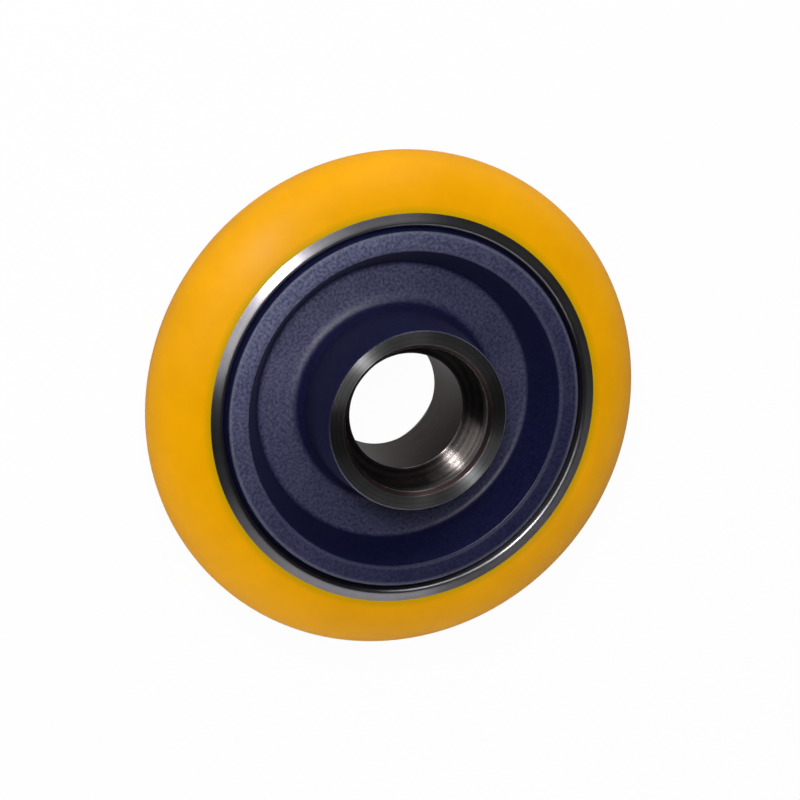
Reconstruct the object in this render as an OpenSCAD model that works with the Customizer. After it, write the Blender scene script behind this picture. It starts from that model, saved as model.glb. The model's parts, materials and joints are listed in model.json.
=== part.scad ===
// Load wheel for a lift truck, lying on one end of its hub.
// A cast iron centre is pressed into a steel band, and a polyurethane tread is bonded to that band.
// The wheel's axis is Z, and the origin is the middle of its width on that axis.

/* [Tread and band] */
// Diameter over the top of the tread
tread_d = 250; // [240:1:300]
// Thickness of the tread, from the band to its top
tread_t = 27; // [18:0.5:30]
// Thickness of the band
band_t = 6.8; // [4:0.2:8]
// Width of the band at its inside, before its edges are rounded
band_w = 45.2; // [41:0.2:64]
// Fall of each end of the band, from its inside out to the tread
band_fall = 2.2; // [0:0.1:3]
// Radius of the band's inner edges
band_edge_r = 2; // [0.5:0.1:2.5]

/* [Rim of the centre] */
// Width of each face of the rim, from the band to the hollow
rim_w = 11.8; // [9.8:0.2:14.8]
// Depth of each face of the rim below the end of the band
rim_recess = 0.3; // [0:0.1:2]
// Width and depth of the sloped groove that parts the rim face from the band
groove_w = 1.9; // [1:0.1:3]
groove_depth = 4.5; // [2:0.5:6]
// Radius of the rim's outer corners, at the top of the groove
rim_outer_r = 1; // [0.5:0.1:1.5]
// Width of the sloped lip at the inside of each rim face
lip_w = 2.2; // [1.5:0.1:3]
// Fall of the lip, from the rim face to the edge of the hollow
lip_fall = 0.5; // [0.2:0.1:1]
// Radius where the lip leaves the rim face, and at the edge of the hollow
lip_bend_r = 3; // [1:0.5:4]
lip_edge_r = 0.6; // [0.2:0.1:0.8]
// Draft of the wall of the hollow, in degrees from the axis
hollow_draft = 25; // [15:1:32]

/* [Web] */
// Thickness of the web
web_t = 9; // [6:0.5:14]
// Height of the web's front face above the middle of the wheel
web_front_z = 1.5; // [0:0.5:5]
// Radius of the fillet between the web and the rim
rim_fillet_r = 2.5; // [1.5:0.5:6]
// Radius of the fillet between the web and the hub
hub_fillet_r = 8; // [4:0.5:10]

/* [Hub] */
// Length of the hub between its two machined ends
hub_len = 83; // [78:1:110]
// Diameter of the hub at its ends
hub_d = 90; // [86:1:96]
// Draft of the outside of the hub, in degrees from the axis
hub_draft = 4; // [1:0.5:5]
// Chamfer at the outer edge of each hub end
hub_edge = 0.6; // [0.2:0.1:1.5]

/* [Bearing seats] */
// Diameter of the two bearing seats
seat_d = 72; // [68:1:76]
// Depth of each bearing seat, from the hub end to its shoulder
seat_depth = 19; // [14:0.5:24]
// Lead-in chamfer at the mouth of each seat
seat_lead = 2; // [0.5:0.1:2.5]
// Diameter of the bore between the two shoulders
bore_d = 58; // [50:1:64]

/* [Hidden] */
// Facets of a full turn, of each rounded corner of a section, and of the crown of the tread
turn_fn = 128;
corner_fn = 8;
crown_fn = 32;

tread_r = tread_d / 2;
band_or = tread_r - tread_t;
band_ir = band_or - band_t;
band_end_z = band_w / 2;
tread_end_z = band_end_z - band_fall;
rim_end_z = band_end_z - rim_recess;
lip_end_z = rim_end_z - lip_fall;
hollow_r = band_ir - rim_w;
web_back_z = web_front_z - web_t;
hub_r = hub_d / 2;
hub_end_z = hub_len / 2;
seat_r = seat_d / 2;
shoulder_z = hub_end_z - seat_depth;
bore_r = bore_d / 2;

// Radius of the hub's drafted outside, and of the hollow's drafted wall, where they reach a web
// face that lies this deep below the hub end or the edge of the hollow
function hub_foot_r(depth) = hub_r + depth * tan(hub_draft);
function hollow_foot_r(depth) = hollow_r - depth * tan(hollow_draft);

function unit(v) = v / norm(v);

// The same angle, between -180 and 180 degrees
function shortest(angle) = angle > 180 ? angle - 360 : angle < -180 ? angle + 360 : angle;

// Points that round the corner p, which is [x, y, radius], between its neighbours a and b
function corner(a, p, b) =
    let (
        at = [p.x, p.y],
        to_a = unit([a.x, a.y] - at),
        to_b = unit([b.x, b.y] - at),
        half = acos(to_a * to_b) / 2,
        centre = at + unit(to_a + to_b) * p[2] / sin(half),
        first = at + to_a * p[2] / tan(half) - centre,
        last = at + to_b * p[2] / tan(half) - centre,
        start = atan2(first.y, first.x),
        turn = shortest(atan2(last.y, last.x) - start)
    )
    p[2] == 0 ? [at] : [
        for (i = [0 : corner_fn])
            let (angle = start + turn * i / corner_fn)
            centre + p[2] * [cos(angle), sin(angle)]
    ];

// Outline through a list of corners, each rounded by its own radius
function rounded(corners) =
    let (n = len(corners))
    [for (i = [0 : n - 1]) each corner(corners[(i + n - 1) % n], corners[i], corners[(i + 1) % n])];

// One outline from two lists that both run outwards: out along the front, and in along the back
function front_and_back(front, back) =
    concat(front, [for (i = [len(back) - 1 : -1 : 0]) back[i]]);

// Half section of the tread: half an ellipse that stands on the band
module tread_section() {
    polygon([
        for (i = [0 : crown_fn])
            let (angle = -90 + 180 * i / crown_fn)
            [band_or + (tread_r - band_or) * cos(angle), tread_end_z * sin(angle)]
    ]);
}

// One end of the band, from the inside out, for side 1 (front) or -1 (back)
function band_side(side) = [
    [band_ir, side * band_end_z, band_edge_r],
    [band_or, side * tread_end_z, 0]
];

// One side of the centre, from the bore out to the rim, whose web face lies at web_z
function centre_side(side, web_z) = [
    [bore_r, side * shoulder_z, 0],
    [seat_r, side * shoulder_z, 0],
    [seat_r, side * (hub_end_z - seat_lead), 0],
    [seat_r + seat_lead, side * hub_end_z, 0],
    [hub_r - hub_edge, side * hub_end_z, 0],
    [hub_r, side * (hub_end_z - hub_edge), 0],
    [hub_foot_r(hub_end_z - side * web_z), web_z, hub_fillet_r],
    [hollow_foot_r(lip_end_z - side * web_z), web_z, rim_fillet_r],
    [hollow_r, side * lip_end_z, lip_edge_r],
    [hollow_r + lip_w, side * rim_end_z, lip_bend_r],
    [band_ir - groove_w, side * rim_end_z, rim_outer_r],
    [band_ir, side * (rim_end_z - groove_depth), 0]
];

module tread() {
    color("orange") rotate_extrude($fn = turn_fn) tread_section();
}

module steel_band() {
    color("silver") rotate_extrude($fn = turn_fn)
        polygon(rounded(front_and_back(band_side(1), band_side(-1))));
}

module wheel_centre() {
    color("midnightblue") rotate_extrude($fn = turn_fn)
        polygon(rounded(front_and_back(centre_side(1, web_front_z), centre_side(-1, web_back_z))));
}

tread();
steel_band();
wheel_centre();
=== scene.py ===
# %% [markdown]
# # A load wheel for a lift truck
#
# The real wheel is three pieces that never come apart in use. A cast iron centre, painted dark
# blue, is pressed into a plain steel band. Orange yellow polyurethane is cast round the band
# as the tread. Every piece is a body of revolution, and it came off a lathe or out of a round
# mould, so this lesson works as a turner does: draw half a section, spin it, round its corners.
#
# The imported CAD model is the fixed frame. Its boxes and its bearing seats give the sizes that
# the finished pieces keep, so nothing has to be fitted afterwards.

# %% Load the wheel
import json
from math import cos, hypot, pi, radians, sin, tan

import bmesh
import bpy
from mathutils import Matrix, Quaternion, Vector


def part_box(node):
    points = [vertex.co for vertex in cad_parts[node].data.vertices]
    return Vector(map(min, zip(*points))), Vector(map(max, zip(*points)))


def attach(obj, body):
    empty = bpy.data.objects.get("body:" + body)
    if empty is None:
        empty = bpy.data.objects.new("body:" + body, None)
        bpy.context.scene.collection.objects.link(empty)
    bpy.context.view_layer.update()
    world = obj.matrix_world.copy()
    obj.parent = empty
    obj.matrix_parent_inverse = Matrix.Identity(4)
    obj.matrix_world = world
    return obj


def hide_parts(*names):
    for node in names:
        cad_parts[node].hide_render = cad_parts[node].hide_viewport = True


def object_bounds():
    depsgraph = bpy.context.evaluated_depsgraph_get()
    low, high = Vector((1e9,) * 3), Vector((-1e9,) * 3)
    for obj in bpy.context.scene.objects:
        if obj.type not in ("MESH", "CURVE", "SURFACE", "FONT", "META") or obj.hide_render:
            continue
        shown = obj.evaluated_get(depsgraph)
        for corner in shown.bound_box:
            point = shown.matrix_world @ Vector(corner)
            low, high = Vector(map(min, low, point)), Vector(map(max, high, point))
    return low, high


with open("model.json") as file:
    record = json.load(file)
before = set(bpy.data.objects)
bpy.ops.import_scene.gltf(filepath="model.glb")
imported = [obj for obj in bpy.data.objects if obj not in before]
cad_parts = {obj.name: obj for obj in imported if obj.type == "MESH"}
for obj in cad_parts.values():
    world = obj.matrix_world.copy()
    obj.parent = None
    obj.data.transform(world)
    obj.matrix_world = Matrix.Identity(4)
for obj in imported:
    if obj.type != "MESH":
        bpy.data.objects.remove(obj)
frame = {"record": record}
cad_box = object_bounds()
scene = bpy.context.scene
MM = 0.001

tread_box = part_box("tread")
band_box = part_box("steel_band")
centre_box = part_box("wheel_centre")
tread_r = tread_box[1].x
band_r = band_box[1].x
centre_r = centre_box[1].x
hub_end_z = centre_box[1].z
mount_r = {mount["name"]: mount["dims"].get("r_mm") for mount in frame["record"]["mounts"]}
seat_r = mount_r["front_bearing_seat"] * MM
bore_r = mount_r["spacer_bore"] * MM
print(f"tread {2000 * tread_r:.0f} mm, band {2000 * band_r:.0f} mm, "
      f"centre {2000 * centre_r:.0f} mm")
print(f"hub length {2000 * hub_end_z:.0f} mm, seats {2000 * seat_r:.0f} mm, "
      f"bore {2000 * bore_r:.0f} mm")

# %% [markdown]
# ## Camera
#
# The wheel lies on one end of its hub, and the photograph looks down on its front. Three facts
# place the camera. A circle on the wheel shows as an ellipse, whose width against its length
# gives the height of the camera over the wheel. The direction in which the axis leans in the
# frame gives the roll. How much the far half of the wheel shrinks gives the distance. A long
# lens from 1.7 m away answers to all three, and a small offset puts the wheel where it is in
# the frame.

# %% Place the camera
VIEW_ELEVATION = 66.55
VIEW_ROLL = -130.24
VIEW_DISTANCE = 1.709
SENSOR = 36.0
FRAME_PIXELS = 800
FOCAL_PIXELS = 3500
RING_PIXEL = (404.7, 409.3)
RING_HEIGHT = 19.6 * MM

towards_camera = Vector((0, -cos(radians(VIEW_ELEVATION)), sin(radians(VIEW_ELEVATION))))
upright = towards_camera.to_track_quat("Z", "Y")
turned = upright @ Quaternion((0, 0, 1), radians(-VIEW_ROLL))
ring_centre = Vector((0, 0, RING_HEIGHT))
metres_per_pixel = VIEW_DISTANCE / FOCAL_PIXELS
offset = Vector((
    (FRAME_PIXELS / 2 - RING_PIXEL[0]) * metres_per_pixel,
    (RING_PIXEL[1] - FRAME_PIXELS / 2) * metres_per_pixel,
    VIEW_DISTANCE,
))
camera = bpy.data.objects.new("camera", bpy.data.cameras.new("camera"))
camera.data.sensor_width = SENSOR
camera.data.lens = SENSOR * FOCAL_PIXELS / FRAME_PIXELS
camera.data.clip_end = 50
place = Matrix.Translation(ring_centre + turned @ offset)
camera.matrix_world = place @ turned.to_matrix().to_4x4()
scene.collection.objects.link(camera)
scene.camera = camera
print(f"lens {camera.data.lens:.1f} mm, {camera.location.length:.2f} m from the wheel")

# %% [markdown]
# ## Turning a piece
#
# A lathe makes a shape by moving a cutter along a line while the work spins. Blender's spin
# does the same with a line of vertices. The line goes round the closed half section, and each
# corner carries the radius that the casting or the cutter leaves there. The shape is spun
# sharp, and then each circle of edges is bevelled to its radius. That keeps the section
# readable, and the rounded corners follow the flats beside them exactly.

# %% Helpers that spin and round
TURN_STEPS = 256
ROUND_SEGMENTS = 8
SHARP_ANGLE = radians(24)


def at_circle(vertex, radius, height):
    """Whether a vertex lies on the circle at this radius and height."""
    return abs(hypot(vertex.co.x, vertex.co.y) - radius) < 1e-6 and abs(vertex.co.z - height) < 1e-6


def spin_section(corners):
    """A closed shell from the corners of a half section, each (radius, height, rounding)."""
    shell = bmesh.new()
    line = [shell.verts.new((radius, 0, height)) for radius, height, _ in corners]
    sides = [shell.edges.new(pair) for pair in zip(line, line[1:] + line[:1])]
    bmesh.ops.spin(shell, geom=line + sides, cent=(0, 0, 0), axis=(0, 0, 1), dvec=(0, 0, 0),
                   angle=2 * pi, steps=TURN_STEPS, use_merge=True, use_duplicate=False)
    bmesh.ops.remove_doubles(shell, verts=shell.verts, dist=1e-7)
    bmesh.ops.recalc_face_normals(shell, faces=shell.faces)
    return shell


def round_circles(shell, corners):
    """Round each circle of edges to the radius that its corner carries."""
    for index, (radius, height, rounding) in enumerate(corners):
        if rounding == 0:
            continue
        corner = Vector((radius, height))
        before = Vector(corners[index - 1][:2]) - corner
        after = Vector(corners[(index + 1) % len(corners)][:2]) - corner
        setback = rounding / tan(before.angle(after) / 2)
        circle = [edge for edge in shell.edges
                  if all(at_circle(vertex, radius, height) for vertex in edge.verts)]
        bmesh.ops.bevel(shell, geom=circle, offset=setback, offset_type="OFFSET",
                        segments=ROUND_SEGMENTS, profile=0.5, affect="EDGES", material=-1,
                        clamp_overlap=True)


def finish_piece(name, shell, materials, node):
    """Make the shell an object that stands in for a CAD node and rides with the wheel."""
    mesh = bpy.data.meshes.new(name)
    shell.to_mesh(mesh)
    shell.free()
    for material in materials:
        mesh.materials.append(material)
    mesh.shade_smooth()
    mesh.set_sharp_from_angle(angle=SHARP_ANGLE)
    piece = bpy.data.objects.new(name, mesh)
    scene.collection.objects.link(piece)
    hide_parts(node)
    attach(piece, "root")
    print(f"{name}: {len(mesh.polygons)} faces, {1000 * piece.dimensions.x:.1f} mm across, "
          f"{1000 * piece.dimensions.z:.1f} mm wide")


# %% [markdown]
# ## Helpers for materials
#
# Each finish is a small node tree. Texture nodes read Object coordinates, which are metres on
# the wheel, so a pattern has a real size. The shader's fixed numbers stay on its own sockets,
# and only what changes over the surface is linked.

# %% Helpers that build node trees


def new_material(name, **sockets):
    """A material whose Principled BSDF has these socket values, with its tree and shader."""
    material = bpy.data.materials.new(name)
    material.use_nodes = True
    shader = material.node_tree.nodes["Principled BSDF"]
    for socket, value in sockets.items():
        shader.inputs[socket.replace("_", " ")].default_value = value
    return material, material.node_tree, shader


def add(tree, kind, label="", **settings):
    """Add a node, and set its properties, or its inputs where a name matches one."""
    node = tree.nodes.new(kind)
    node.label = label
    for name, value in settings.items():
        if hasattr(node, name):
            setattr(node, name, value)
        else:
            node.inputs[name.replace("_", " ")].default_value = value
    return node


def join(tree, source, target):
    tree.links.new(source, target)


def calculate(tree, operation, first, second=0.0):
    """A Math node on two numbers or sockets, and its result."""
    node = add(tree, "ShaderNodeMath", operation=operation)
    for socket, value in zip(node.inputs, (first, second)):
        if isinstance(value, (int, float)):
            socket.default_value = value
        else:
            join(tree, value, socket)
    return node.outputs[0]


def weighted(tree, *parts):
    """The sum of two sockets, each given as (socket, share)."""
    first, second = [calculate(tree, "MULTIPLY", socket, share) for socket, share in parts]
    return calculate(tree, "ADD", first, second)


def ramp(tree, factor, *stops):
    """A colour ramp through stops of (position, grey or colour), and its colour."""
    node = add(tree, "ShaderNodeValToRGB")
    elements = node.color_ramp.elements
    for index, (position, colour) in enumerate(stops):
        element = elements[index] if index < 2 else elements.new(position)
        element.position = position
        shade = (colour, colour, colour) if isinstance(colour, (int, float)) else colour
        element.color = (*shade, 1)
    join(tree, factor, node.inputs[0])
    return node.outputs[0]


def mix(tree, share, first, second):
    """A colour between two others, each a socket or three numbers, and its result."""
    node = add(tree, "ShaderNodeMix", data_type="RGBA")
    join(tree, share, node.inputs["Factor"])
    for name, value in (("A", first), ("B", second)):
        if isinstance(value, tuple):
            node.inputs[name].default_value = (*value, 1)
        else:
            join(tree, value, node.inputs[name])
    return node.outputs["Result"]


# %% [markdown]
# ## Helpers for shared effects
#
# Turning marks and handling film show on several finishes. A node group holds such an effect
# once, with a socket for each thing that differs, and a material places it with its own values.

# %% Helpers that make and place node groups


def group(name, inputs, outputs):
    """An empty node group with named number inputs and outputs."""
    tree = bpy.data.node_groups.new(name, "ShaderNodeTree")
    for socket, value in inputs.items():
        made = tree.interface.new_socket(socket, in_out="INPUT", socket_type="NodeSocketFloat")
        made.default_value = value
    for socket in outputs:
        tree.interface.new_socket(socket, in_out="OUTPUT", socket_type="NodeSocketFloat")
    return tree, add(tree, "NodeGroupInput").outputs, add(tree, "NodeGroupOutput").inputs


def use_group(tree, shared, **values):
    """Place a shared group in a material with its own values, and give its outputs."""
    node = add(tree, "ShaderNodeGroup", node_tree=shared)
    for socket, value in values.items():
        node.inputs[socket].default_value = value
    return node.outputs


# %% [markdown]
# ## Helpers for places and surfaces
#
# Most patterns of a turned piece depend on the distance from its axis alone. Two more helpers
# end every finish: one makes a height into relief, and one lays the grain of turned metal
# round the axis.

# %% Helpers that read a place and shape a surface


def object_position(tree):
    return add(tree, "ShaderNodeTexCoord").outputs["Object"]


def distance_from_axis(tree, position):
    """How far a point lies from the wheel's axis."""
    flat = add(tree, "ShaderNodeVectorMath", operation="MULTIPLY")
    flat.inputs[1].default_value = (1, 1, 0)
    join(tree, position, flat.inputs[0])
    length = add(tree, "ShaderNodeVectorMath", operation="LENGTH")
    join(tree, flat.outputs[0], length.inputs[0])
    return length.outputs["Value"]


def bump(tree, shader, height, depth):
    """Turn a height into the shader's normal; depth is what a height of one means, in metres."""
    node = add(tree, "ShaderNodeBump", Strength=1.0, Distance=depth)
    join(tree, height, node.inputs["Height"])
    join(tree, node.outputs["Normal"], shader.inputs["Normal"])


def run_grain_round(tree, shader):
    """Let the grooves of an anisotropic finish run round the wheel's axis."""
    tangent = add(tree, "ShaderNodeTangent", direction_type="RADIAL", axis="Z")
    join(tree, tangent.outputs[0], shader.inputs["Tangent"])


# %% [markdown]
# ## Shared effect: turning marks
#
# A lathe tool leaves a fine spiral on everything that it cuts. On a face the lines are circles
# round the axis, and in a bore they are rings along it. A one-dimensional noise, read along the
# section, gives irregular lines that are the same all the way round. The section coordinate
# adds the radius and a share of the height, so one group serves faces, bores and chamfers.

# %% Turning marks
HEIGHT_SHARE = 0.83
turning_marks, given, made = group("turning_marks", {"Pitch": 0.4 * MM}, ["Height", "Tone"])
place = object_position(turning_marks)
split = add(turning_marks, "ShaderNodeSeparateXYZ")
join(turning_marks, place, split.inputs[0])
along = calculate(turning_marks, "ADD", distance_from_axis(turning_marks, place),
                  calculate(turning_marks, "MULTIPLY", split.outputs["Z"], HEIGHT_SHARE))
turn_count = calculate(turning_marks, "DIVIDE", along, given["Pitch"])
lines = add(turning_marks, "ShaderNodeTexNoise", "single lines",
            noise_dimensions="1D", Scale=1.0, Detail=3.0, Roughness=0.6)
broad = add(turning_marks, "ShaderNodeTexNoise", "groups of lines",
            noise_dimensions="1D", Scale=0.16, Detail=2.0)
for pattern, output in ((lines, "Height"), (broad, "Tone")):
    join(turning_marks, turn_count, pattern.inputs["W"])
    join(turning_marks, pattern.outputs[0], made[output])
print(f"{turning_marks.name}: {len(turning_marks.nodes)} nodes")

# %% [markdown]
# ## Shared effect: handling film
#
# Nothing that has been packed, lifted and photographed is evenly clean. A slow cloudy noise
# stands for the thin film of oil and dust that hands leave. It only moves the roughness and the
# colour a little, but without it every highlight looks computed.

# %% Handling film
handling_film, given, made = group("handling_film", {"Patch": 18 * MM}, ["Film"])
place = add(handling_film, "ShaderNodeVectorMath", operation="SCALE")
join(handling_film, object_position(handling_film), place.inputs[0])
join(handling_film, calculate(handling_film, "DIVIDE", 1.0, given["Patch"]), place.inputs["Scale"])
cloud = add(handling_film, "ShaderNodeTexNoise", Scale=1.0, Detail=6.0, Roughness=0.62)
join(handling_film, place.outputs[0], cloud.inputs["Vector"])
join(handling_film, cloud.outputs[0], made["Film"])
print(f"{handling_film.name}: {len(handling_film.nodes)} nodes")

# %% [markdown]
# ## Finish: cast polyurethane
#
# The tread is cast polyurethane, orange yellow through and through. It is satin, a little
# translucent, and faintly ringed where the mould was turned, so its highlights spread across
# those rings. Within a few millimetres of the band its colour turns darker and greener, in a
# narrow line along the joint.

# %% Polyurethane
BAND_LINE_WIDTH = 4 * MM
tread_material, tree, shader = new_material(
    "cast_polyurethane", Roughness=0.40, IOR=1.3, Specular_IOR_Level=0.3,
    Anisotropic=0.85, Anisotropic_Rotation=0.25,
    Subsurface_Weight=0.06, Subsurface_Radius=(1.0, 0.42, 0.05), Subsurface_Scale=2.5 * MM)
film = use_group(tree, handling_film, Patch=34 * MM)["Film"]
cast_colour = ramp(tree, film, (0.32, (0.79, 0.345, 0.0)), (0.68, (0.87, 0.388, 0.0)))
from_band = calculate(tree, "SUBTRACT", distance_from_axis(tree, object_position(tree)), band_r)
# A narrow darker, greener line along the tread's edge next to the band.
beside_band = ramp(tree, calculate(tree, "MULTIPLY", from_band, 1 / BAND_LINE_WIDTH),
                   (0.0, 1.0), (1.0, 0.0))
join(tree, mix(tree, beside_band, cast_colour, (0.56, 0.33, 0.0)), shader.inputs["Base Color"])
join(tree, ramp(tree, film, (0.3, 0.37), (0.7, 0.43)), shader.inputs["Roughness"])
bump(tree, shader, use_group(tree, turning_marks, Pitch=0.9 * MM)["Height"], 0.006 * MM)
run_grain_round(tree, shader)
print(f"{tread_material.name}: {len(tree.nodes)} nodes")

# %% [markdown]
# ## Piece: the tread
#
# The tread's section is half an ellipse that stands on the band. The photograph shows no edge
# between its side and its top, so one smooth curve is the right outline.

# %% Tread
CROWN_STEPS = 48
tread_half_z = tread_box[1].z
crown = [(band_r + (tread_r - band_r) * cos(turn), tread_half_z * sin(turn), 0)
         for turn in (radians(-90 + 180 * step / CROWN_STEPS) for step in range(CROWN_STEPS + 1))]
finish_piece("tread_moulding", spin_section(crown), [tread_material], "tread")

# %% [markdown]
# ## Finish: turned steel
#
# The band's end and the machined parts of the hub are bare. Turning leaves grooves that run
# round the axis, so light spreads across them and not along them, and each light makes a
# narrow bright fan. The Principled shader calls that Anisotropic, with a tangent that runs
# round the axis. One function makes every bare metal of the wheel.

# %% Turned metal


def turned_metal(name, light, dark, roughness, pitch, groove, anisotropic):
    """Bare metal from the lathe, between a light and a dark tone."""
    material, tree, shader = new_material(
        name, Metallic=1.0, Roughness=roughness, Anisotropic=anisotropic, Anisotropic_Rotation=0.25)
    marks = use_group(tree, turning_marks, Pitch=pitch)
    film = use_group(tree, handling_film, Patch=9 * MM)["Film"]
    tone = weighted(tree, (marks["Tone"], 0.6), (film, 0.4))
    join(tree, ramp(tree, tone, (0.35, dark), (0.65, light)), shader.inputs["Base Color"])
    run_grain_round(tree, shader)
    bump(tree, shader, marks["Height"], groove)
    print(f"{name}: {len(tree.nodes)} nodes, a groove every {1000 * pitch:.2f} mm")
    return material


band_material = turned_metal("turned_steel", (0.37, 0.36, 0.385), (0.26, 0.25, 0.275),
                             0.30, 0.35 * MM, 0.006 * MM, 0.80)

# %% [markdown]
# ## Piece: the steel band
#
# The band is a short tube of about 7 mm wall. Each end is turned so that it falls a little
# towards the tread. Inside it a steep lead helps the centre in when the two are pressed
# together, and lies black in the groove. The small round edge between lead and end catches the
# light as a thin line.

# %% Steel band
BAND_FALL = 2.2 * MM
BAND_LEAD = 1.2 * MM
BAND_LEAD_DEPTH = 5 * MM
BAND_EDGE_ROUND = 1.5 * MM
band_corner_z = tread_half_z + BAND_FALL
band_edge_z = band_corner_z - BAND_FALL * BAND_LEAD / (band_r - centre_r)
band_corners = [
    (centre_r, band_corner_z - BAND_LEAD_DEPTH, 0),
    (centre_r + BAND_LEAD, band_edge_z, BAND_EDGE_ROUND),
    (band_r, tread_half_z, 0),
    (band_r, -tread_half_z, 0),
    (centre_r + BAND_LEAD, -band_edge_z, BAND_EDGE_ROUND),
    (centre_r, BAND_LEAD_DEPTH - band_corner_z, 0),
]
band_shell = spin_section(band_corners)
round_circles(band_shell, band_corners)
finish_piece("turned_band", band_shell, [band_material], "steel_band")

# %% [markdown]
# ## Finish: paint over a cast skin
#
# The centre was cast in sand, so under its paint the iron is pebbly. Two noises make that skin:
# grains of about a millimetre and a half, and slower waves of about six millimetres. The paint
# itself is a very dark, glossy blue. The same grains shift its tone a little, because paint
# lies thicker between them.

# %% Dark blue paint
paint_material, tree, shader = new_material("painted_iron", Roughness=0.5, IOR=1.45)
place = object_position(tree)
film = use_group(tree, handling_film, Patch=22 * MM)["Film"]
grain = add(tree, "ShaderNodeTexNoise", "sand grains", Scale=680.0, Detail=2.0, Roughness=0.5)
waves = add(tree, "ShaderNodeTexNoise", "waves of the mould", Scale=160.0, Detail=3.0)
for pattern in (grain, waves):
    join(tree, place, pattern.inputs["Vector"])
bump(tree, shader, weighted(tree, (grain.outputs[0], 0.45), (waves.outputs[0], 1.2)), 0.10 * MM)
tone = weighted(tree, (film, 0.25), (grain.outputs[0], 0.75))
# The first ramp is the dark paint as it shows in shade; the second is a pale copy of it, the
# painted sheen.
shaded_paint = ramp(tree, tone, (0.35, (0.004, 0.005, 0.028)), (0.65, (0.009, 0.010, 0.044)))
sheen_lit_paint = ramp(tree, tone, (0.38, (0.043, 0.044, 0.104)), (0.64, (0.142, 0.146, 0.250)))
print(f"{paint_material.name}: {len(tree.nodes)} nodes before the dust")

# %% [markdown]
# ## Finish: painted sheen, painted shade and painted edge highlights
#
# The paint is made pale and dull on the faces that look up, as painted sheen, and stays dark on
# the steep walls, as painted shade. The surface's own normal says which faces look up. The
# painted sheen is stronger on one side of the rim than on the other, and the hollow near the rim
# keeps some of it all the way round. Where it lies the roughness goes up with it. On the rim's
# face two thin pale lines, one at each edge, are painted highlights.

# %% Painted sheen, shade and edge highlights
# The painted sheen fades towards this side of the wheel, which is left in painted shade.
SHADED_SIDE = Vector((0.14, 0.99, 0))
RIM_SPAN = 12 * MM
# How much the painted edge highlights lighten the paint.
EDGE_HIGHLIGHT_SHARE = 0.30
surface = add(tree, "ShaderNodeSeparateXYZ")
join(tree, add(tree, "ShaderNodeTexCoord").outputs["Normal"], surface.inputs[0])
# Faces that look up get the painted sheen; steep walls and fillets keep the painted shade.
looks_up = ramp(tree, surface.outputs["Z"], (0.72, 0.0), (1.0, 1.0))
across = add(tree, "ShaderNodeVectorMath", operation="DOT_PRODUCT")
across.inputs[1].default_value = SHADED_SIDE / (2 * centre_r)
join(tree, place, across.inputs[0])
# Painted sheen, stronger on one side of the rim than on the other.
side_sheen = ramp(tree, calculate(tree, "ADD", across.outputs["Value"], 0.5),
                 (0.0, 1.0), (0.15, 0.64), (0.40, 0.36), (1.0, 0.06))
from_axis = distance_from_axis(tree, place)
# Painted sheen in the hollow near the rim, all the way round.
hollow_sheen = ramp(tree, calculate(tree, "DIVIDE", from_axis, centre_r), (0.77, 0.38), (0.86, 0.0))
painted_sheen = calculate(tree, "MULTIPLY", looks_up, calculate(tree, "MAXIMUM", side_sheen, hollow_sheen))
from_groove = calculate(tree, "SUBTRACT", centre_r, from_axis)
# Painted highlights: two thin pale lines at the edges of the rim's face.
edge_highlights = ramp(tree, calculate(tree, "MULTIPLY", from_groove, 1 / RIM_SPAN),
                  (0.14, 0.0), (0.22, 1.0), (0.31, 0.0), (0.80, 0.0), (0.88, 0.35), (0.97, 0.0))
edge_highlight_share = calculate(tree, "MULTIPLY", edge_highlights, EDGE_HIGHLIGHT_SHARE)
colour = mix(tree, edge_highlight_share, mix(tree, painted_sheen, shaded_paint, sheen_lit_paint), (0.20, 0.21, 0.27))
join(tree, colour, shader.inputs["Base Color"])
join(tree, ramp(tree, painted_sheen, (0.0, 0.34), (0.8, 0.60)), shader.inputs["Roughness"])
print(f"{paint_material.name}: {len(tree.nodes)} nodes with the dust")

# %% [markdown]
# ## Finish: the machined iron of the hub
#
# The hub's ends are turned as the band is, but cast iron comes out greyer. The bearing seats
# are turned smoother, and their darker, slightly brown colour is painted shade of the bore round
# them. The bore between the shoulders only clears the axle. It is bored roughly, and its oil has
# begun to turn brown. The leads at the mouths of the seats get the bore's dark brown as painted
# shade.

# %% Machined iron
face_material = turned_metal("turned_iron", (0.36, 0.36, 0.365), (0.25, 0.25, 0.255),
                             0.28, 0.30 * MM, 0.006 * MM, 0.97)
# The bearing seats are darker than the hub's ends; their dark tone is painted shade of the bore.
shaded_seat_material = turned_metal("shaded_seat", (0.30, 0.28, 0.27), (0.10, 0.09, 0.09),
                             0.19, 0.30 * MM, 0.006 * MM, 0.7)
bore_material = turned_metal("oiled_bore", (0.050, 0.031, 0.032), (0.030, 0.018, 0.019),
                             0.42, 0.60 * MM, 0.015 * MM, 0.5)

# %% [markdown]
# ## Piece: the wheel centre
#
# Rim, web and hub are one casting. Its section is drawn as two lines, front and back, that run
# from the bore out to the rim. The web's face lies deep in the front hollow and a little
# shallower in the back one. The walls of hub and hollow lean, because a pattern has to leave
# the sand. The edges that the lathe cut are only broken, and the cast ones are round.

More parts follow.
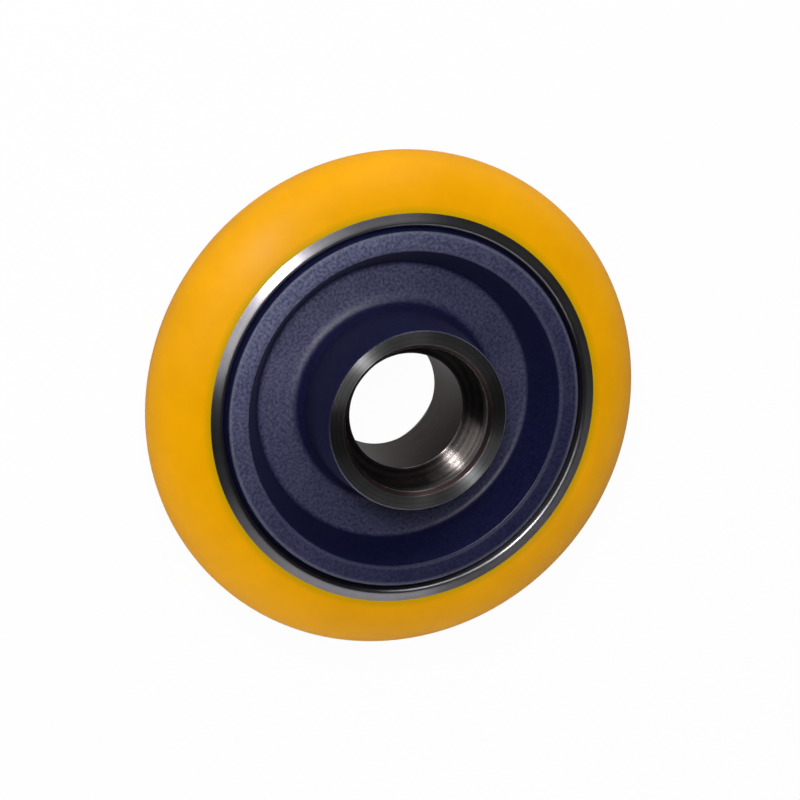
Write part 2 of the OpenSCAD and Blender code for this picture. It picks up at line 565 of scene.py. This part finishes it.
# %% Section of the wheel centre
SEAT_DEPTH = 19 * MM
SEAT_LEAD = 2 * MM
SEAT_MOUTH_ROUND = 0.6 * MM
SHOULDER_ROUND = 0.3 * MM
BROKEN_EDGE = 0.15 * MM
HUB_R = 45 * MM
HUB_EDGE = 0.6 * MM
HUB_DRAFT = radians(4)
HUB_FILLET = 8 * MM
HOLLOW_R = 79.4 * MM
HOLLOW_DRAFT = radians(25)
HOLLOW_FILLET = 4 * MM
LIP_WIDTH = 2.2 * MM
LIP_FALL = 0.5 * MM
LIP_EDGE_ROUND = 0.6 * MM
LIP_BEND_ROUND = 3 * MM
RIM_RECESS = 0.3 * MM
RIM_OUTER_ROUND = 1 * MM
GROOVE_WIDTH = 1.9 * MM
GROOVE_DEPTH = 4.5 * MM
WEB_FRONT_Z = 1.5 * MM
WEB_BACK_Z = -7.5 * MM

shoulder_z = hub_end_z - SEAT_DEPTH
seat_mouth_z = hub_end_z - SEAT_LEAD
rim_z = band_corner_z - RIM_RECESS
lip_z = rim_z - LIP_FALL


def centre_side(side, web_z):
    """Corners of the front (1) or the back (-1), from the bore out to the rim."""
    hub_foot_r = HUB_R + (hub_end_z - side * web_z) * tan(HUB_DRAFT)
    hollow_foot_r = HOLLOW_R - (lip_z - side * web_z) * tan(HOLLOW_DRAFT)
    return [
        (bore_r, side * shoulder_z, SHOULDER_ROUND),
        (seat_r, side * shoulder_z, 0),
        (seat_r, side * seat_mouth_z, SEAT_MOUTH_ROUND),
        (seat_r + SEAT_LEAD, side * hub_end_z, BROKEN_EDGE),
        (HUB_R - HUB_EDGE, side * hub_end_z, BROKEN_EDGE),
        (HUB_R, side * (hub_end_z - HUB_EDGE), BROKEN_EDGE),
        (hub_foot_r, web_z, HUB_FILLET),
        (hollow_foot_r, web_z, HOLLOW_FILLET),
        (HOLLOW_R, side * lip_z, LIP_EDGE_ROUND),
        (HOLLOW_R + LIP_WIDTH, side * rim_z, LIP_BEND_ROUND),
        (centre_r - GROOVE_WIDTH, side * rim_z, RIM_OUTER_ROUND),
        (centre_r, side * (rim_z - GROOVE_DEPTH), 0),
    ]


centre_corners = centre_side(1, WEB_FRONT_Z) + centre_side(-1, WEB_BACK_Z)[::-1]
centre_shell = spin_section(centre_corners)
round_circles(centre_shell, centre_corners)
print(f"section of {len(centre_corners)} corners, {len(centre_shell.faces)} faces when spun")

# %% [markdown]
# ## Which face has which finish
#
# Paint was sprayed on first, and the lathe cut through it afterwards. So a face's place in the
# section says whether it is painted or bare. The round edge at a seat's mouth keeps the plain
# turned iron, without the painted shade of the seat, so it shows a thin bright line. Each reach
# says how near to an edge a face still counts as part of it.

# %% Finishes of the wheel centre
PAINT, TURNED, SEAT, BORED = range(4)
EDGE_REACH = 0.1 * MM
END_REACH = 0.2 * MM
MOUTH_REACH = 0.3 * MM
BORE_REACH = 0.5 * MM


def finish_at(radius, height):
    """The finish of a face by its distance from the axis and from the middle plane."""
    if radius < bore_r + BORE_REACH and height < shoulder_z - EDGE_REACH:
        return BORED
    if radius < seat_r + MOUTH_REACH and abs(height - seat_mouth_z) < MOUTH_REACH:
        return TURNED
    if radius < seat_r + EDGE_REACH:
        return SEAT
    # The leads take the bore's dark brown as painted shade.
    if radius < seat_r + SEAT_LEAD - BROKEN_EDGE:
        return BORED
    if radius < HUB_R - HUB_EDGE and height > hub_end_z - END_REACH:
        return TURNED
    return PAINT


for face in centre_shell.faces:
    middle = face.calc_center_median()
    face.material_index = finish_at(hypot(middle.x, middle.y), abs(middle.z))
finish_piece("painted_centre", centre_shell,
             [paint_material, face_material, shaded_seat_material, bore_material],
             "wheel_centre")

# %% [markdown]
# ## Floor
#
# The wheel lies on a pale floor. A floor that is only lit would be grey beside the wheel, so its
# material glows white for the camera. Bare metal mirrors the floor too, but at full strength
# that would wash out the dark bore, so mirror-like rays see a quarter of the glow. Every other
# ray meets a plain diffuse floor. The floor lies a tenth of a millimetre below the hub's end,
# so that no two faces share one plane.

# %% Pale floor
FLOOR_SIZE = 12.0
FLOOR_GAP = 0.1 * MM
FLOOR_GLOW = 0.97
MIRRORED_GLOW = 0.25
floor_shell = bmesh.new()
bmesh.ops.create_grid(floor_shell, x_segments=1, y_segments=1, size=FLOOR_SIZE / 2)
bmesh.ops.translate(floor_shell, verts=floor_shell.verts, vec=(0, 0, cad_box[0].z - FLOOR_GAP))
floor_mesh = bpy.data.meshes.new("floor")
floor_shell.to_mesh(floor_mesh)
floor_shell.free()
floor = bpy.data.objects.new("floor", floor_mesh)
scene.collection.objects.link(floor)

floor_material = bpy.data.materials.new("pale_floor")
floor_material.use_nodes = True
tree = floor_material.node_tree
tree.nodes.clear()
ray = add(tree, "ShaderNodeLightPath").outputs
mirrored = calculate(tree, "ADD", ray["Is Glossy Ray"], ray["Is Transmission Ray"])
blend = add(tree, "ShaderNodeMixShader")
glow_share = weighted(tree, (ray["Is Camera Ray"], FLOOR_GLOW), (mirrored, MIRRORED_GLOW))
matt = add(tree, "ShaderNodeBsdfDiffuse", Color=(0.8, 0.8, 0.8, 1))
glow = add(tree, "ShaderNodeEmission", Color=(1, 1, 1, 1))
for source, socket in zip((glow_share, matt.outputs[0], glow.outputs[0]), blend.inputs):
    join(tree, source, socket)
join(tree, blend.outputs[0], add(tree, "ShaderNodeOutputMaterial").inputs["Surface"])
floor_mesh.materials.append(floor_material)
print(f"floor {FLOOR_SIZE:.0f} m across, at {1000 * floor_mesh.vertices[0].co.z:.1f} mm")

# %% [markdown]
# ## Lamps and room
#
# Bare metal shows its lamps, so the highlights in the photograph say where they were. A narrow
# strip and a broad panel stand to the upper left of the view and make the bright fans on the
# turned ends. Two panels above the view and a long one below it light the rest, and a ring of
# low strips lights the tread's side. The room is nearly dark, so that bare metal also has
# something dark to reflect.

# %% Lamps
LOW_STRIPS = ((0, 1.4), (45, 1.2), (90, 1.1), (135, 0.5), (180, 1.0), (-45, 0.4))


def softbox(name, position, size, watts, turn=0.0):
    """An area lamp of width by length that faces the wheel, turned about its own axis."""
    lamp = bpy.data.lights.new(name, "AREA")
    lamp.shape = "RECTANGLE"
    lamp.size, lamp.size_y = size
    lamp.energy = watts
    holder = bpy.data.objects.new(name, lamp)
    facing = (-Vector(position)).to_track_quat("-Z", "Y") @ Quaternion((0, 0, 1), radians(turn))
    holder.matrix_world = Matrix.Translation(position) @ facing.to_matrix().to_4x4()
    scene.collection.objects.link(holder)


def around_the_wheel(turn, tilt, distance):
    """A place by its angle round the axis, its tilt from the axis and its distance."""
    flat = distance * sin(radians(tilt))
    return flat * cos(radians(turn)), flat * sin(radians(turn)), distance * cos(radians(tilt))


softbox("upper_left_strip", (-0.103, -0.52, 1.0), (0.05, 0.40), 5.4, turn=-7)
softbox("upper_left_panel", (0.10, -0.55, 1.0), (0.80, 0.30), 3.2)
softbox("upper_panel", around_the_wheel(-120, 45, 1.1), (0.45, 0.45), 1.8)
softbox("top_panel", around_the_wheel(-150, 62, 1.1), (0.45, 0.45), 2.8)
softbox("lower_panel", around_the_wheel(34, 58, 1.1), (1.20, 0.40), 1.7)
for turn, watts in LOW_STRIPS:
    softbox(f"low_strip_{turn % 360}", around_the_wheel(turn, 86, 0.9), (0.80, 0.12), watts)
print(f"{len(bpy.data.lights)} lamps, {sum(lamp.energy for lamp in bpy.data.lights):.1f} W")

# %% Room
ROOM_GLOW = 0.02
room = bpy.data.worlds.new("room")
scene.world = room
room.use_nodes = True
room.node_tree.nodes["Background"].inputs["Color"].default_value = (1, 1, 1, 1)
room.node_tree.nodes["Background"].inputs["Strength"].default_value = ROOM_GLOW
scene.view_settings.view_transform = "Standard"
print(f"room glows {ROOM_GLOW}, colours are shown by the {scene.view_settings.view_transform} view")

# %% [markdown]
# ## The CAD model's box
#
# The finished pieces must fill the same box as the CAD model. This cell prints the CAD model's
# box.

# %% Print the CAD model's box
print("cad box", [[round(1000 * value, 1) for value in corner] for corner in cad_box])
